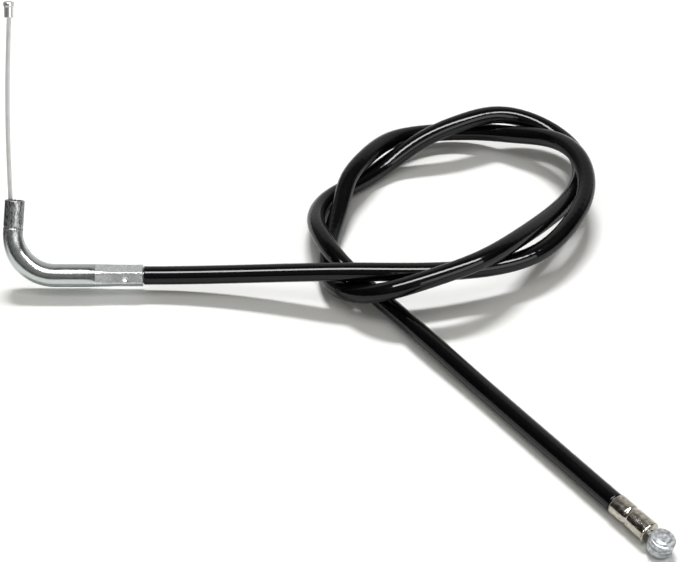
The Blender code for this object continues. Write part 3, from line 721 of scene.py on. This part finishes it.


# Floor and light: white paper, painted greyer and with a painted dark patch for gloss only, a key light behind
# and above that throws the shadows forwards, a long overhead softbox and a panel to the right that only gloss
# sees, and a weak fill from above for matt surfaces.
FLOOR_HALF = 3.0
TABLE_MIDDLE = np.array([0.0, 0.03, 0.0])
KEY_DISTANCE = 3.6
KEY_HEIGHT = math.radians(58.0)
SOFTBOX_DISTANCE = 1.2
SOFTBOX_LEAN = math.radians(11.0)
SOFTBOX_MIDDLE = TABLE_MIDDLE + (0.14, 0.0, 0.0)
FILL_DISTANCE = 2.4
FILL_LEAN = math.radians(8.0)
PANEL_PLACE = (0.85, -1.09, 0.53)
ROOM_GREYS = ((0.0, 0.06), (0.09, 0.06), (0.13, 0.14), (0.31, 0.14), (0.34, 0.10), (0.67, 0.08), (0.72, 0.42),
              (1.0, 0.58))


def white_floor():
    """Matt white paper. In gloss its colour is painted greyer, a painted reflection tone, and out of the
    picture to the left it is painted near black, a painted dark patch that stands in for shade and only
    reflections see.
    """
    material, tree, shader = new_finish("floor paper")
    way = node(tree, "ShaderNodeSeparateXYZ", {"Vector": node(tree, "ShaderNodeTexCoord").outputs["Object"]})
    left = between(tree, way.outputs[0], 1.0, 0.0, -0.115, -0.095)
    behind = between(tree, way.outputs[1], 0.0, 1.0, 0.015, 0.040)
    gloss = node(tree, "ShaderNodeLightPath").outputs["Is Glossy Ray"]
    # Painted shade: a near-black patch on the floor, left of and behind the cable, seen only in gloss.
    painted_dark_patch = times(tree, times(tree, left, behind), gloss)
    # Painted reflection tone: the paper shows as 0.70 grey in gloss instead of its white.
    paper_and_painted_gloss_grey = mixed(tree, gloss, (0.97, 0.97, 0.96), (0.70, 0.72, 0.72))
    tree.links.new(mixed(tree, painted_dark_patch, paper_and_painted_gloss_grey, (0.04, 0.04, 0.04)), shader.inputs["Base Color"])
    shader.inputs["Roughness"].default_value = 0.9
    shader.inputs["Specular IOR Level"].default_value = 0.0
    return material


def soft_light(name, place, aim, size, power, glossy, diffuse):
    """A rectangular lamp at a place, turned to a point, that gloss, matt surfaces or both see."""
    data = bpy.data.lights.new(name, "AREA")
    data.shape = "RECTANGLE"
    data.size, data.size_y = size
    data.energy = power
    lamp = bpy.data.objects.new(name, data)
    lamp.location = place
    lamp.rotation_euler = (Vector(aim) - Vector(place)).to_track_quat("-Z", "Y").to_euler()
    lamp.visible_glossy = glossy
    lamp.visible_diffuse = diffuse
    lamp.visible_camera = False
    bpy.context.scene.collection.objects.link(lamp)


def room():
    """The room's light: white to the camera, an even fill on matt surfaces, and in gloss a grey that changes
    with the height over the table, from the camera's side (0) over the top (0.5) to the far side (1), and is
    dark far out to either side."""
    world = bpy.data.worlds.new("room")
    bpy.context.scene.world = world
    world.use_nodes = True
    tree = world.node_tree
    way = node(tree, "ShaderNodeSeparateXYZ", {"Vector": node(tree, "ShaderNodeTexCoord").outputs["Generated"]})
    front = times(tree, way.outputs[1], -1.0)
    height = node(tree, "ShaderNodeMath", {0: way.outputs[2], 1: front}, operation="ARCTAN2").outputs[0]
    ramp = node(tree, "ShaderNodeValToRGB", {"Fac": between(tree, height, 0.0, 1.0, 0.0, math.pi)})
    for place, grey in ROOM_GREYS[1:-1]:
        ramp.color_ramp.elements.new(place)
    for element, (place, grey) in zip(ramp.color_ramp.elements, ROOM_GREYS):
        element.position = place
        element.color = (grey, grey, grey, 1.0)
    ray = node(tree, "ShaderNodeLightPath")
    fill = mixed(tree, ray.outputs["Is Camera Ray"], (0.30, 0.297, 0.28), (1.0, 1.0, 1.0))
    left = between(tree, way.outputs[0], 0.25, 1.0, -0.75, -0.40)
    right = between(tree, way.outputs[0], 1.0, 0.2, 0.75, 0.92)
    seen = node(tree, "ShaderNodeVectorMath", {0: ramp.outputs[0], "Scale": times(tree, left, right)},
                operation="SCALE").outputs[0]
    both = mixed(tree, ray.outputs["Is Glossy Ray"], fill, seen)
    tree.links.new(both, tree.nodes["Background"].inputs["Color"])


floor_mesh = bpy.data.meshes.new("floor")
floor_mesh.from_pydata([(-FLOOR_HALF, -FLOOR_HALF, 0.0), (FLOOR_HALF, -FLOOR_HALF, 0.0),
                        (FLOOR_HALF, FLOOR_HALF, 0.0), (-FLOOR_HALF, FLOOR_HALF, 0.0)], [], [(0, 1, 2, 3)])
floor_mesh.materials.append(white_floor())
floor = bpy.data.objects.new("floor", floor_mesh)
bpy.context.scene.collection.objects.link(floor)

key_way = np.array([0.0, math.cos(KEY_HEIGHT), math.sin(KEY_HEIGHT)])
softbox_way = np.array([0.0, -math.sin(SOFTBOX_LEAN), 1.0])
fill_way = np.array([0.0, -math.sin(FILL_LEAN), 1.0])
soft_light("key light", TABLE_MIDDLE + KEY_DISTANCE * key_way, TABLE_MIDDLE, (1.2, 0.36), 106.0,
           glossy=False, diffuse=True)
soft_light("softbox", SOFTBOX_MIDDLE + SOFTBOX_DISTANCE * softbox_way, SOFTBOX_MIDDLE, (1.52, 0.34), 30.0,
           glossy=True, diffuse=False)
soft_light("top fill", TABLE_MIDDLE + FILL_DISTANCE * fill_way, TABLE_MIDDLE, (3.2, 0.8), 11.0,
           glossy=False, diffuse=True)
soft_light("side panel", PANEL_PLACE, (-0.08, 0.03, 0.02), (1.3, 0.8), 6.5, glossy=True, diffuse=False)
room()
bpy.context.scene.view_settings.view_transform = "Standard"
